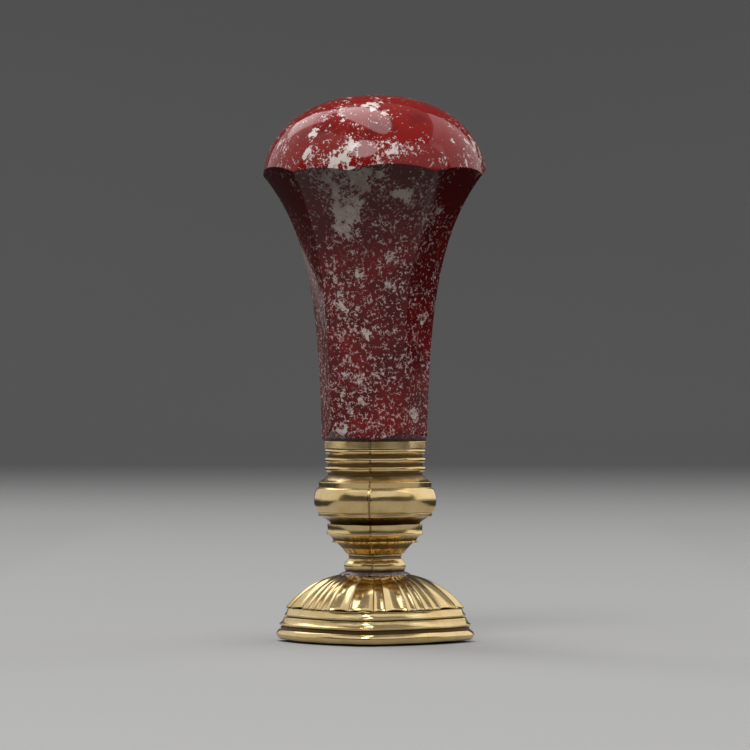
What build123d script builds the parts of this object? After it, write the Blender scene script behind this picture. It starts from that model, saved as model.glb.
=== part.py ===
from build123d import *
import math
import os

# A desk wax seal: a flared octagonal hardstone handle on a built-up gilt mount of bowed square plan,
# with a fluted cover, a moulded plinth and an engraved seal stone in its foot.
# It stands on the seal stone's face at Z = 0, Z is its axis, and the plinth's sides face X and Y.
# Sizes are in millimetres and turns in degrees. A radius of a square piece is measured at its corner.

# Heights of the pieces, from the seal face up
SEAL_PROUD = 0.35
FOOT_H = 1.50
MIDDLE_H = 1.85
UPPER_H = 1.40
COVER_H = 5.20
WASHER_H = 0.45
NECK_H = 2.72
CUP_H = 2.93
STEP_H = 1.67
KNOP_FOOT_H = 1.77
KNOP_H = 3.90
SHOULDER_H = 1.81
COLLAR_H = 5.32
HANDLE_H = 53.33

# Plan of the mount: the foot and the knop at the corner, and how far their sides bow out
FOOT_R = 15.30
FOOT_BOW = 2.18
KNOP_R = 9.47
KNOP_BOW = 1.55

# Corner radii of the mouldings
FOOT_EDGE_R = 14.80
FILLET_R = 14.60
MIDDLE_R = 14.80
MIDDLE_TOP_R = 13.90
UPPER_R = 14.00
UPPER_TOP_R = 13.25
COVER_R = 14.10
WASHER_R = 5.50
NECK_R = 4.78
WAIST_R = 4.11
CUP_R = 6.65
BOWL_R = 5.95
BOWL_FOOT_R = 4.60
STEP_R = 7.55
STEP_TOP_R = 7.40
UNDERCUT_R = 6.83
KNOP_EDGE_R = 8.80
COLLAR_R = 7.85
REED_R = 7.75

# Small mouldings
EDGE_H = 0.28
FILLET_H = 0.42
GROOVE_H = 0.12
GROOVE_D = 0.35
HOLLOW_D = 0.22
NECK_BAND_H = 1.25
WAIST_H = 1.00
CALYX_LIP_H = 0.31
CALYX_TOP_H = 0.87
BOWL_FOOT_H = 0.15
BEAD_H = 0.36
KNOP_FILLET_H = 0.50
KNOP_FILLET_D = 0.14
SHOULDER_FILLET_H = 0.80
TOP_BAND_H = 1.27
REED_COUNT = 3
REED_EDGE_H = 0.68
REED_D = 0.26
REED_HOLLOW_D = 0.21

# Fluted cover: three wide and five narrow flutes in each quarter, from a wide one near the corner
COVER_LIP_H = 0.50
COVER_BULGE = 0.76
COVER_WALL = 1.55
COVER_TOP_T = 0.80
WIDE_FLUTE = 17.0
FLUTE_ROW = "WNWNNNNW"
FLUTE_TURN = -4.0
FLUTE_DEPTH_RATIO = 0.13
COVER_SECTIONS = 6

# Hollow of the mount
SHELL_BORE_R = 5.40
NECK_BORE_R = 2.40
KNOP_WALL = 0.85
COLLAR_BORE_R = 6.45

# Stone handle: an octagonal horn under a dome
HANDLE_SIDES = 8
STEM_R = 8.05
RIM_R = 17.15
DOME_H = 12.20
FLARE_R = 9.43
FACET_BOW = 0.45
FLARE_LENGTH = 11.30
FLARE_REACH = 3.70
RIM_DROP = 1.90
RIM_INSET = 0.90
STONE_TURN = -4.0
BEVEL_OVERHANG = 0.05
TENON_H = 1.50
HORN_SPANS = 7
DOME_SPANS = 6

# Rod, nut and cement
ROD_R = 1.50
ROD_IN_STONE = 16.00
ROD_CHAMFER = 0.30
ROD_TAIL = 0.80
CEMENT_T = 0.25
BORE_CEMENT_T = 0.50
NUT_FLATS = 5.50
NUT_H = 2.40
ROD_WASHER_R = 3.40
ROD_WASHER_T = 0.50

# Seal stone and its setting
PLINTH_BORE_R = 12.80
UPPER_BORE_R = 11.80
BACK_PLATE_T = 0.90
BEZEL_WALL = 0.50
BEVEL_W = 0.70
BEVEL_H = 0.55
FACE_EDGE_H = 0.30
PETALS = 8
PETAL_IN = 1.50
PETAL_OUT = 6.40
PETAL_BULGE = 1.05
ENGRAVING_D = 0.40
BORDER_R = 7.60
BORDER_W = 0.50
EYE_R = 0.90

# Clearance between pieces that slide into one another
FIT = 0.05

# Heights worked out from the stack
Z_FOOT = SEAL_PROUD
Z_MIDDLE = Z_FOOT + FOOT_H
Z_UPPER = Z_MIDDLE + MIDDLE_H
Z_COVER = Z_UPPER + UPPER_H
Z_WASHER = Z_COVER + COVER_H
Z_NECK = Z_WASHER + WASHER_H
Z_CUP = Z_NECK + NECK_H
Z_STEP = Z_CUP + CUP_H
Z_KNOP_FOOT = Z_STEP + STEP_H
Z_KNOP = Z_KNOP_FOOT + KNOP_FOOT_H
Z_KNOP_MIDDLE = Z_KNOP + KNOP_H / 2
Z_SHOULDER = Z_KNOP + KNOP_H
Z_COLLAR = Z_SHOULDER + SHOULDER_H
Z_HANDLE = Z_COLLAR + COLLAR_H
Z_TOP = Z_HANDLE + HANDLE_H
Z_RIM = Z_TOP - DOME_H
Z_PLUG_TOP = Z_HANDLE - TENON_H - CEMENT_T
Z_ROD_TOP = Z_HANDLE + ROD_IN_STONE
Z_NUT = Z_WASHER - COVER_TOP_T - ROD_WASHER_T - NUT_H
Z_BACK_PLATE = Z_UPPER - BACK_PLATE_T

# The stone sits in its bezel, and the bezel in the plinth
BEZEL_R = PLINTH_BORE_R - FIT
GIRDLE_R = BEZEL_R - BEZEL_WALL - FIT
FACE_R = GIRDLE_R - BEVEL_W
SEAL_T = Z_BACK_PLATE - CEMENT_T
COVER_TOP_R = WASHER_R + FIT
NARROW_FLUTE = (90 - FLUTE_ROW.count("W") * WIDE_FLUTE) / FLUTE_ROW.count("N")


def axis_offset(corner, bow, sides):
    """Distance from the seal's axis back to the axis that a bowed side is turned about."""
    half = corner * math.cos(math.pi / sides) + bow
    return (corner ** 2 - half ** 2) / (2 * bow)


BASE_AXIS = axis_offset(FOOT_R, FOOT_BOW, 4)
MOUNT_AXIS = axis_offset(KNOP_R, KNOP_BOW, 4)
STONE_AXIS = axis_offset(STEM_R + FLARE_R, FACET_BOW, HANDLE_SIDES)


def side_radius(corner, axis, sides=4):
    """Radius of a bowed side about its own axis, for a piece with this corner radius."""
    half_turn = math.pi / sides
    return math.hypot(corner * math.cos(half_turn) + axis, corner * math.sin(half_turn))


def middle_radius(corner, axis):
    """Distance from the seal's axis to the middle of a bowed side."""
    return side_radius(corner, axis) - axis


# The stone's tenon stands in cement inside the collar
TENON_R = middle_radius(COLLAR_BORE_R, MOUNT_AXIS) - CEMENT_T


def bowed_sides(outline, axis, sides):
    """Solid between equal bowed sides: one side's outline turned about its own axis, met by the others."""
    turned = revolve(Plane.XZ * make_face(outline), Axis.Z)
    side = Pos(-axis, 0, 0) * Rot(0, 0, 180) * turned
    solid = side
    for i in range(1, sides):
        solid = solid & Rot(0, 0, 360 * i / sides) * side
    return solid


def bowed(profile, axis):
    """Moulding on a bowed square plan.

    The profile lists (corner radius, height) points from bottom to top; a pair of points is an arc.
    """
    def place(point):
        return (side_radius(point[0], axis), point[1])

    at = profile[0]
    edges = [Line((0, at[1]), place(at))]
    for step in profile[1:]:
        if isinstance(step[0], tuple):
            edges.append(ThreePointArc(place(at), place(step[0]), place(step[1])))
            at = step[1]
        else:
            edges.append(Line(place(at), place(step)))
            at = step
    edges.append(Line(place(at), (0, at[1])))
    edges.append(Line((0, at[1]), (0, profile[0][1])))
    return bowed_sides(edges, axis, 4)


def bowed_prism(corner, low, high, axis):
    """Straight prism on the bowed square plan."""
    return bowed([(corner, low), (corner, high)], axis)


def rod(radius, low, high):
    """Upright cylinder on the seal's axis, from one height to another."""
    return Pos(0, 0, low) * Cylinder(radius, high - low, align=(Align.CENTER, Align.CENTER, Align.MIN))


def hollow(start, end):
    """Arc from start to end, hollowed towards the axis."""
    return (((start[0] + end[0]) / 2 - HOLLOW_D, (start[1] + end[1]) / 2), end)


def polar(radius, angle, height):
    """Point at a radius and a turn in degrees."""
    return (radius * math.cos(math.radians(angle)), radius * math.sin(math.radians(angle)), height)


def ring_of_arcs(angles, corner_radii, middle_radii, height):
    """Closed face of arcs between corners, each arc passing its own middle radius."""
    count = len(angles)
    edges = []
    for i in range(count):
        after = (i + 1) % count
        span = (angles[after] - angles[i]) % 360
        start = polar(corner_radii[i], angles[i], height)
        middle = polar(middle_radii[i], angles[i] + span / 2, height)
        end = polar(corner_radii[after], angles[after], height)
        edges.append(ThreePointArc(start, middle, end))
    return make_face(edges)


def arris_radius(height):
    """Radius of the handle's arrises: an exponential horn."""
    return STEM_R + FLARE_R * math.exp((height - Z_RIM) / FLARE_LENGTH)


def octagonal_horn():
    """Eight slightly crowned facets that flare along the exponential horn, carried past the rim."""
    reach = Z_RIM + FLARE_REACH - Z_HANDLE
    heights = [Z_HANDLE + reach * i / HORN_SPANS for i in range(HORN_SPANS + 1)]
    points = [(side_radius(arris_radius(height), STONE_AXIS, HANDLE_SIDES), height) for height in heights]
    flare = Spline(*points)
    rest = Polyline(points[-1], (points[-1][0], Z_TOP), (0, Z_TOP), (0, Z_HANDLE), points[0])
    return Rot(0, 0, 180 / HANDLE_SIDES + STONE_TURN) * bowed_sides([flare, rest], STONE_AXIS, HANDLE_SIDES)


def dome_limit():
    """Solid of revolution that domes the horn and rounds it in below the rim."""
    round_r = (RIM_DROP ** 2 + RIM_INSET ** 2) / (2 * RIM_INSET)
    half_inset = round_r - math.sqrt(round_r ** 2 - (RIM_DROP / 2) ** 2)
    rim = (RIM_R, Z_RIM)
    round_middle = (RIM_R - half_inset, Z_RIM - RIM_DROP / 2)
    low = (RIM_R - RIM_INSET, Z_RIM - RIM_DROP)
    foot = Z_HANDLE - TENON_H
    turns = [math.radians(90 * i / DOME_SPANS) for i in range(DOME_SPANS + 1)]
    points = [(RIM_R * math.cos(turn), Z_RIM + DOME_H * math.sin(turn)) for turn in turns]
    dome = Spline(*points, tangents=[(0, 1), (-1, 0)])
    under = ThreePointArc(low, round_middle, rim)
    side = Polyline((0, Z_TOP), (0, foot), (low[0], foot), low)
    return revolve(Plane.XZ * make_face([dome, side, under]), Axis.Z)


def foot_bevel():
    """Bowed flare that bevels the foot of the stone to the collar's outline."""
    low = COLLAR_R + BEVEL_OVERHANG
    return bowed([(low, Z_HANDLE), (low + HANDLE_H, Z_TOP)], MOUNT_AXIS)


def stone_handle():
    """Jasper handle with its tenon, bored for the rod."""
    stone = octagonal_horn() & dome_limit() & foot_bevel()
    stone = stone + rod(TENON_R, Z_HANDLE - TENON_H, Z_HANDLE)
    bore_r = ROD_R + BORE_CEMENT_T
    return stone - rod(bore_r, Z_HANDLE - TENON_H, Z_ROD_TOP + BORE_CEMENT_T)


def handle_cement():
    """Cement round the rod in the stone, and under and round the tenon."""
    sleeve = rod(ROD_R + BORE_CEMENT_T, Z_PLUG_TOP, Z_ROD_TOP + BORE_CEMENT_T)
    bed = bowed_prism(COLLAR_BORE_R - FIT, Z_PLUG_TOP, Z_HANDLE, MOUNT_AXIS)
    bed = bed - rod(TENON_R, Z_HANDLE - TENON_H, Z_HANDLE)
    return sleeve + bed - rod(ROD_R, Z_PLUG_TOP, Z_ROD_TOP)


def tie_rod():
    """Rod from below its nut to the top of its bore in the stone."""
    bar = rod(ROD_R, Z_NUT - ROD_TAIL, Z_ROD_TOP)
    ends = bar.edges().filter_by(GeomType.CIRCLE)
    return chamfer(ends, ROD_CHAMFER)


def collar_plug():
    """Plug inside the collar, between the shoulder and the stone's tenon."""
    plug = bowed_prism(COLLAR_BORE_R - FIT, Z_COLLAR, Z_PLUG_TOP, MOUNT_AXIS)
    return plug - rod(ROD_R + FIT, Z_COLLAR, Z_PLUG_TOP)


def reeded_collar():
    """Collar with a flat top band over a row of reeds, each hollowed underneath."""
    pitch = (COLLAR_H - TOP_BAND_H) / REED_COUNT
    profile = [(REED_R - REED_D, Z_COLLAR)]
    for i in range(REED_COUNT):
        low = Z_COLLAR + i * pitch
        start = (REED_R - REED_D, low)
        edge = (REED_R, low + pitch - REED_EDGE_H)
        via = (REED_R - REED_HOLLOW_D, (start[1] + edge[1]) / 2)
        profile += [(via, edge), (REED_R, low + pitch), (REED_R - REED_D, low + pitch)]
    band = Z_HANDLE - TOP_BAND_H + GROOVE_H
    profile += [(REED_R - REED_D, band), (COLLAR_R, band), (COLLAR_R, Z_HANDLE)]
    return bowed(profile, MOUNT_AXIS) - bowed_prism(COLLAR_BORE_R, Z_COLLAR, Z_HANDLE, MOUNT_AXIS)


def shoulder_ring():
    """Hollow moulding that flares from the collar to a square edge over the knop."""
    low = (KNOP_EDGE_R, Z_SHOULDER + SHOULDER_FILLET_H)
    high = (REED_R - REED_D, Z_COLLAR)
    profile = [(KNOP_EDGE_R, Z_SHOULDER), low, hollow(low, high)]
    return bowed(profile, MOUNT_AXIS) - bowed_prism(SHELL_BORE_R, Z_SHOULDER, Z_COLLAR, MOUNT_AXIS)


def knop_half(low, high):
    """Shell of the knop between two heights: a swelling band with the same swell inside."""
    edge = KNOP_EDGE_R - GROOVE_D / 2
    outer = bowed([(edge, Z_KNOP), ((KNOP_R, Z_KNOP_MIDDLE), (edge, Z_SHOULDER))], MOUNT_AXIS)
    wall = KNOP_WALL * math.sqrt(2)
    swell = (KNOP_R - wall, Z_KNOP_MIDDLE)
    inner = bowed([(edge - wall, Z_KNOP), (swell, (edge - wall, Z_SHOULDER))], MOUNT_AXIS)
    return (outer - inner) & rod(2 * KNOP_R, low, high)


def knop_foot_ring():
    """Square edge under the knop and the hollow that draws in below it."""
    low = (UNDERCUT_R, Z_KNOP_FOOT)
    high = (KNOP_EDGE_R - KNOP_FILLET_D, Z_KNOP - KNOP_FILLET_H)
    profile = [low, hollow(low, high), (KNOP_EDGE_R, high[1]), (KNOP_EDGE_R, Z_KNOP)]
    return bowed(profile, MOUNT_AXIS) - bowed_prism(SHELL_BORE_R, Z_KNOP_FOOT, Z_KNOP, MOUNT_AXIS)


def step_band():
    """Slightly hollow band with a bead along its lower edge."""
    bead_top = (STEP_R - GROOVE_D / 2, Z_STEP + BEAD_H)
    bead = ((STEP_R, Z_STEP + BEAD_H / 2), bead_top)
    profile = [(STEP_R - GROOVE_D / 2, Z_STEP), bead, hollow(bead_top, (STEP_TOP_R, Z_KNOP_FOOT))]
    return bowed(profile, MOUNT_AXIS) - bowed_prism(SHELL_BORE_R, Z_STEP, Z_KNOP_FOOT, MOUNT_AXIS)


def calyx_cup():
    """Cup under the step band: a hollow over a lip, and a smaller bowl below it that narrows to the neck."""
    lip = Z_STEP - CALYX_TOP_H
    lip_low = lip - CALYX_LIP_H
    foot = (BOWL_FOOT_R, Z_CUP + BOWL_FOOT_H)
    bowl = (BOWL_R, lip_low)
    rise = (CUP_R - GROOVE_D / 2, lip)
    top = (STEP_R - GROOVE_D, Z_STEP)
    profile = [(WAIST_R, Z_CUP), foot, hollow(foot, bowl), (CUP_R, lip_low), (CUP_R, lip)]
    profile += [rise, hollow(rise, top)]
    bore = Cone(NECK_BORE_R, middle_radius(SHELL_BORE_R, MOUNT_AXIS), CUP_H,
                align=(Align.CENTER, Align.CENTER, Align.MIN))
    return bowed(profile, MOUNT_AXIS) - Pos(0, 0, Z_CUP) * bore


def neck_ring():
    """Neck with a plain band below, drawn in by a hollow to the waist."""
    band = (NECK_R, Z_NECK + NECK_BAND_H)
    waist = (WAIST_R, Z_CUP - WAIST_H)
    profile = [(NECK_R, Z_NECK), band, hollow(band, waist), (WAIST_R, Z_CUP)]
    return bowed(profile, MOUNT_AXIS) - rod(NECK_BORE_R, Z_NECK, Z_CUP)


def neck_washer():
    """Thin grey ring between the neck and the fluted cover."""
    profile = [(WASHER_R, Z_WASHER), (WASHER_R, Z_WASHER + GROOVE_H), (NECK_R, Z_NECK)]
    return bowed(profile, MOUNT_AXIS) - rod(ROD_R + FIT, Z_WASHER, Z_NECK)


def flute_angles():
    """Turns of the ridges between flutes, quarter by quarter, with a wide flute near each corner."""
    widths = [WIDE_FLUTE if flute == "W" else NARROW_FLUTE for flute in FLUTE_ROW]
    angles = []
    for quarter in range(4):
        angle = 90 * quarter + 45 - WIDE_FLUTE / 2 + FLUTE_TURN
        for width in widths:
            angles.append(angle)
            angle += width
    return angles


def square_radius(corner, angle, axis):
    """Distance from the axis to the bowed square outline in one direction."""
    off = math.radians((angle + 45) % 90 - 45)
    return math.sqrt(side_radius(corner, axis) ** 2 - (axis * math.sin(off)) ** 2) - axis * math.cos(off)


def flute_section(corner, height):
    """Section of the fluted cover: hollow arcs between ridges that lie on the bowed square outline."""
    angles = flute_angles()
    axis = BASE_AXIS * corner / FOOT_R
    ridges = [square_radius(corner, angle, axis) for angle in angles]
    middles = []
    for i, angle in enumerate(angles):
        after = (i + 1) % len(angles)
        half_span = math.radians((angles[after] - angle) % 360) / 2
        mean = (ridges[i] + ridges[after]) / 2
        depth = 2 * mean * math.sin(half_span) * FLUTE_DEPTH_RATIO
        middles.append(mean * math.cos(half_span) - depth)
    return ring_of_arcs(angles, ridges, middles, height)


def cover_arc(share):
    """Point of the cover's convex profile, from its lip at 0 to its top at 1."""
    low = (COVER_R, Z_COVER + COVER_LIP_H)
    high = (COVER_TOP_R, Z_WASHER)
    run = (high[0] - low[0], high[1] - low[1])
    chord = math.hypot(*run)
    radius = (chord ** 2 / 4 + COVER_BULGE ** 2) / (2 * COVER_BULGE)
    swing = math.asin(chord / 2 / radius) * (2 * share - 1)
    along = 0.5 + radius * math.sin(swing) / chord
    out = radius * math.cos(swing) - (radius - COVER_BULGE)
    normal = (run[1] / chord, -run[0] / chord)
    return (low[0] + run[0] * along + normal[0] * out, low[1] + run[1] * along + normal[1] * out)


def fluted_cover():
    """Cover of the base: a domed shell with hollow flutes, a lip below and a land on top."""
    sections = [flute_section(*cover_arc(i / (COVER_SECTIONS - 1))) for i in range(COVER_SECTIONS)]
    lip = extrude(flute_section(COVER_R, Z_COVER), COVER_LIP_H, dir=(0, 0, 1))
    shell = loft(sections) + lip
    ceiling = Z_WASHER - COVER_TOP_T
    low = (COVER_R - COVER_WALL, Z_COVER)
    high = (COVER_TOP_R - FIT, ceiling)
    middle = cover_arc(0.5)
    inside = bowed([low, ((middle[0] - COVER_WALL, middle[1] - COVER_TOP_T), high)], BASE_AXIS)
    return shell - inside - rod(ROD_R + FIT, ceiling, Z_WASHER)


def rod_washer():
    """Washer under the top of the cover."""
    low = Z_NUT + NUT_H
    return rod(ROD_WASHER_R, low, low + ROD_WASHER_T) - rod(ROD_R + FIT, low, low + ROD_WASHER_T)


def rod_nut():
    """Hexagon nut on the rod."""
    hexagon = RegularPolygon(NUT_FLATS / 2, 6, major_radius=False)
    nut = extrude(Plane.XY.offset(Z_NUT) * hexagon, NUT_H)
    return nut - rod(ROD_R, Z_NUT, Z_NUT + NUT_H)


def plinth_upper_moulding():
    """Top strip of the plinth: a square edge over a groove, with a hollow above it."""
    edge = Z_UPPER + GROOVE_H
    low = (UPPER_R, edge + EDGE_H)
    profile = [(UPPER_R - GROOVE_D, Z_UPPER), (UPPER_R - GROOVE_D, edge), (UPPER_R, edge), low]
    profile.append(hollow(low, (UPPER_TOP_R, Z_COVER)))
    return bowed(profile, BASE_AXIS) - bowed_prism(UPPER_BORE_R, Z_UPPER, Z_COVER, BASE_AXIS)


def plinth_middle_moulding():
    """Middle strip of the plinth: a fillet, a groove, a square edge and a hollow above it."""
    fillet = Z_MIDDLE + FILLET_H
    edge = fillet + GROOVE_H
    low = (MIDDLE_R, edge + EDGE_H)
    profile = [(FILLET_R, Z_MIDDLE), (FILLET_R, fillet), (FILLET_R - GROOVE_D, fillet)]
    profile += [(FILLET_R - GROOVE_D, edge), (MIDDLE_R, edge), low, hollow(low, (MIDDLE_TOP_R, Z_UPPER))]
    return bowed(profile, BASE_AXIS) - bowed_prism(PLINTH_BORE_R, Z_MIDDLE, Z_UPPER, BASE_AXIS)


def plinth_foot_moulding():
    """Bottom strip of the plinth: a half-round band."""
    swell = (FOOT_R, Z_FOOT + FOOT_H / 2)
    profile = [(FOOT_EDGE_R, Z_FOOT), (swell, (FOOT_EDGE_R, Z_MIDDLE))]
    return bowed(profile, BASE_AXIS) - bowed_prism(PLINTH_BORE_R, Z_FOOT, Z_MIDDLE, BASE_AXIS)


def back_plate():
    """Plate that closes the hollow base above the seal stone."""
    return bowed_prism(PLINTH_BORE_R - FIT, Z_BACK_PLATE, Z_UPPER, BASE_AXIS)


def seal_cement():
    """Bed between the seal stone and the back plate."""
    return bowed_prism(GIRDLE_R, SEAL_T, Z_BACK_PLATE, BASE_AXIS)


def seal_bezel():
    """Setting of the seal stone, rubbed over its bevelled edge."""
    ring = bowed_prism(BEZEL_R, SEAL_PROUD, Z_BACK_PLATE, BASE_AXIS)
    seat = [(FACE_R + FIT, 0), (FACE_R + FIT, FACE_EDGE_H), (GIRDLE_R + FIT, FACE_EDGE_H + BEVEL_H)]
    seat.append((GIRDLE_R + FIT, Z_BACK_PLATE))
    return ring - bowed(seat, BASE_AXIS)


def petal():
    """One engraved petal: a pointed leaf between two arcs, cut into the seal face."""
    middle = (PETAL_IN + PETAL_OUT) / 2
    right = ThreePointArc((PETAL_IN, 0), (middle, -PETAL_BULGE), (PETAL_OUT, 0))
    left = ThreePointArc((PETAL_OUT, 0), (middle, PETAL_BULGE), (PETAL_IN, 0))
    return extrude(make_face([right, left]), ENGRAVING_D)


def seal_stone():
    """Seal stone with a bevelled edge, engraved with a plain rosette inside a round border."""
    profile = [(FACE_R, 0), (FACE_R, FACE_EDGE_H), (GIRDLE_R, FACE_EDGE_H + BEVEL_H), (GIRDLE_R, SEAL_T)]
    stone = bowed(profile, BASE_AXIS)
    for i in range(PETALS):
        stone = stone - Rot(0, 0, 360 * i / PETALS) * petal()
    border = rod(BORDER_R, 0, ENGRAVING_D) - rod(BORDER_R - BORDER_W, 0, ENGRAVING_D)
    return stone - border - rod(EYE_R, 0, ENGRAVING_D)


PIECES = {
    "stone_handle": stone_handle,
    "handle_cement": handle_cement,
    "tie_rod": tie_rod,
    "collar_plug": collar_plug,
    "reeded_collar": reeded_collar,
    "shoulder_ring": shoulder_ring,
    "knop_upper_shell": lambda: knop_half(Z_KNOP_MIDDLE, Z_SHOULDER),
    "knop_lower_shell": lambda: knop_half(Z_KNOP, Z_KNOP_MIDDLE),
    "knop_foot_ring": knop_foot_ring,
    "step_band": step_band,
    "calyx_cup": calyx_cup,
    "neck_ring": neck_ring,
    "neck_washer": neck_washer,
    "fluted_cover": fluted_cover,
    "rod_washer": rod_washer,
    "rod_nut": rod_nut,
    "plinth_upper_moulding": plinth_upper_moulding,
    "plinth_middle_moulding": plinth_middle_moulding,
    "plinth_foot_moulding": plinth_foot_moulding,
    "back_plate": back_plate,
    "seal_cement": seal_cement,
    "seal_bezel": seal_bezel,
    "seal_stone": seal_stone,
}

os.makedirs("parts", exist_ok=True)
for name, make in PIECES.items():
    piece = make()
    export_step(piece, f"parts/{name}.step")
    size = piece.bounding_box().size
    print(f"{name}: {len(piece.solids())} solid, {piece.volume:.1f} mm3, "
          f"{size.X:.2f} x {size.Y:.2f} x {size.Z:.2f} mm")
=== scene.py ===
import math

import bpy
import numpy as np
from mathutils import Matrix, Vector


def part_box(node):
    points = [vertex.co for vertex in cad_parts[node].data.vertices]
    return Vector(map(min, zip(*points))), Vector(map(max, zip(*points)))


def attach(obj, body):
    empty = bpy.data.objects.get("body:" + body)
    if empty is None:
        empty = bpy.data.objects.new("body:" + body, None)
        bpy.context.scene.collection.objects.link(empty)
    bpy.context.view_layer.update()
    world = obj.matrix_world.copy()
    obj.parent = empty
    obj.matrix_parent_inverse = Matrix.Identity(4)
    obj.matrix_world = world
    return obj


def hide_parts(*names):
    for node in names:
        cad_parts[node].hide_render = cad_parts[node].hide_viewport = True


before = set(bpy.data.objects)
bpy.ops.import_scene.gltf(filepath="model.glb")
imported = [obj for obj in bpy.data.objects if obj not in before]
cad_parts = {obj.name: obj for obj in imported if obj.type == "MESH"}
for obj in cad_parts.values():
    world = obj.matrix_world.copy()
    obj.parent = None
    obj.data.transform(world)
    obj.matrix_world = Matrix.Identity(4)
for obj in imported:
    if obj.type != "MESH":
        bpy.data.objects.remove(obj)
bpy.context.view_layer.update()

# Sizes are in millimetres and turns in degrees, if nothing else is said. The radius of a square piece is
# measured at its corner.
MM = 0.001

# The photograph's view: where the eye stands, and the height that the picture's middle shows
EYE_TURN = 50.5
EYE_DISTANCE = 666.0
EYE_HEIGHT = 38.7
AIM_HEIGHT = 41.06
LENS = 207.24
SENSOR = 36.0

# Plans of the plinth and of the mount above it: corner radius, bow of a side, and easing of the corners
SQUARE = 4
FOOT_R, FOOT_BOW, PLINTH_EASE = 15.30, 2.18, 1.50
KNOP_R, KNOP_BOW, MOUNT_EASE = 9.47, 1.55, 0.30

# Stone handle: turns of its hand-cut arrises to the right of the eye, at the rim and down the stem; then
# the horn's flare, the dome, the bevelled foot on the collar, the tenon and the bore
FACETS = 8
ARRISES_AT_RIM = (-92, -45, -14, 32, 72, 118, 164, 214)
ARRISES_AT_STEM = (-97, -54, -11, 30, 75, 120, 165, 212)
STEM_R = 8.05
FLARE_R = 10.30
FLARE_LENGTH = 11.30
FLARE_Z = 73.00
FACET_CROWN = 0.45
ARRIS_EASE = 0.10
DOME_R = 17.30
DOME_Z = 71.00
DOME_POWER = 2.28
RIM_EASE = 0.07
FOOT_R_AT_COLLAR = 7.90
BEVEL_EASE = 0.12
BEVEL_RISES = (0, 0.02, 0.06, 0.12, 0.2, 0.3, 0.45, 0.6, 0.8, 1.1, 1.5)
TENON_R = 5.18
BORE_R, BORE_TIP_R, BORE_HEIGHT = 2.0, 0.4, 16.5

# Fluted cover: wide and narrow flutes in each quarter, from a wide one near the corner; then its own form
FLUTE_ROW = "WNWNNNNW"
WIDE_FLUTE = 17.0
FLUTE_TURN = -4.0
FLUTE_DEPTH_RATIO = 0.18
FLUTE_ARCH, ARCH_FADE = 0.22, 0.75
COVER_R = 14.10
COVER_TOP_R = 5.55
COVER_BULGE = 0.88
COVER_EDGE = 0.22
COVER_WALL = 0.80
COVER_HOLE_R = 1.55
COVER_EASE = 0.05
COVER_SEAT_R = 12.95

# Seal stone: petals about a hollow eye inside a round groove, the depth that is fully matt, and its edge
PETALS = 8
PETAL_MIDDLE, PETAL_HALF_LENGTH, PETAL_HALF_WIDTH, PETAL_DEPTH = 3.95, 2.45, 1.05, 0.40
VEIN_SHARE, VEIN_WIDTH = 0.25, 0.10
ROSETTE_EYE_R, ROSETTE_EYE_DEPTH = 0.95, 0.35
GROOVE_R, GROOVE_HALF_WIDTH, GROOVE_DEPTH = 7.35, 0.27, 0.28
MATT_DEPTH = 0.12
SEAL_R, GIRDLE_R, SEAL_EASE = 11.50, 12.20, 0.30

# Hand finish: how far the metal wanders, how grime and painted shade gather in hollows, and painted shade
# along corner seams and on the cover, beside its ridges and towards its top
WANDER = 0.022
SHELTER_SLOPE = 0.22
SHELTER_REACH = 0.9
SHELTER_DEPTH = 0.20
SMALLER_SHARE = 0.85
SEAM_PAINTED_SHADE, SEAM_WIDTH = 0.58, 0.28
RIDGE_PAINTED_SHADE, RIDGE_TURN = 0.75, 1.0
TOP_PAINTED_SHADE, TOP_PAINTED_SHADE_FROM, TOP_PAINTED_SHADE_RISE = 0.15, 8.2, 2.1

# Least turn of an outline that counts as a corner
CORNER_TURN = 20.0


# Plan curves

def set_back(corner, swell, sides):
    """How far behind the seal's axis a bowed side has its own centre, from the chord and the swell."""
    half = corner * math.cos(math.pi / sides) + swell
    return (corner ** 2 - half ** 2) / (2 * swell)


def ease_min(a, b, ease):
    """Smaller of two lengths, less ease / 4 times the square of how close they come within ease."""
    close = np.clip(1 - np.abs(a - b) / ease, 0, 1)
    return np.minimum(a, b) - ease * close ** 2 / 4


def from_middle(turn, sides):
    """Angle of a turn from the middle of the nearest side."""
    half_turn = math.pi / sides
    return np.abs((turn + half_turn) % (2 * half_turn) - half_turn)


def bowed_radius(corner, turn, back, sides, ease):
    """Radius of a plan of bowed sides: the smaller of the two nearest arcs about their own centres, eased.

    A side's arc of radius s about a centre set back by d lies at sqrt(s^2 - (d sin a)^2) - d cos a,
    where a is the angle from the middle of that side.
    """
    half_turn = math.pi / sides
    side = np.hypot(corner * math.cos(half_turn) + back, corner * math.sin(half_turn))
    off = from_middle(turn, sides)

    def arc(angle):
        return np.sqrt(side ** 2 - (back * np.sin(angle)) ** 2) - back * np.cos(angle)

    return ease_min(arc(off), arc(2 * half_turn - off), ease) + ease / 4


def turns_round(sides, steps, crowd):
    """Angles once round, from a side's middle to its corner as 1 - (1 - u)^crowd and back, side by side."""
    half_turn = math.pi / sides
    half = half_turn * (1 - (1 - np.arange(steps) / steps) ** crowd)
    one_side = np.concatenate([half, [half_turn], 2 * half_turn - half[:0:-1]])
    return (2 * half_turn * np.arange(sides)[:, None] + one_side).ravel()


def facing(turn, rise):
    """Direction from the seal, by degrees to the right of the eye and above the floor."""
    angle = math.radians(EYE_TURN - 90 + turn)
    lift = math.radians(rise)
    return Vector((math.cos(angle) * math.cos(lift), math.sin(angle) * math.cos(lift), math.sin(lift)))


def span(node):
    """Lowest and highest height of a CAD node."""
    low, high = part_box(node)
    return low.z / MM, high.z / MM


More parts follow.
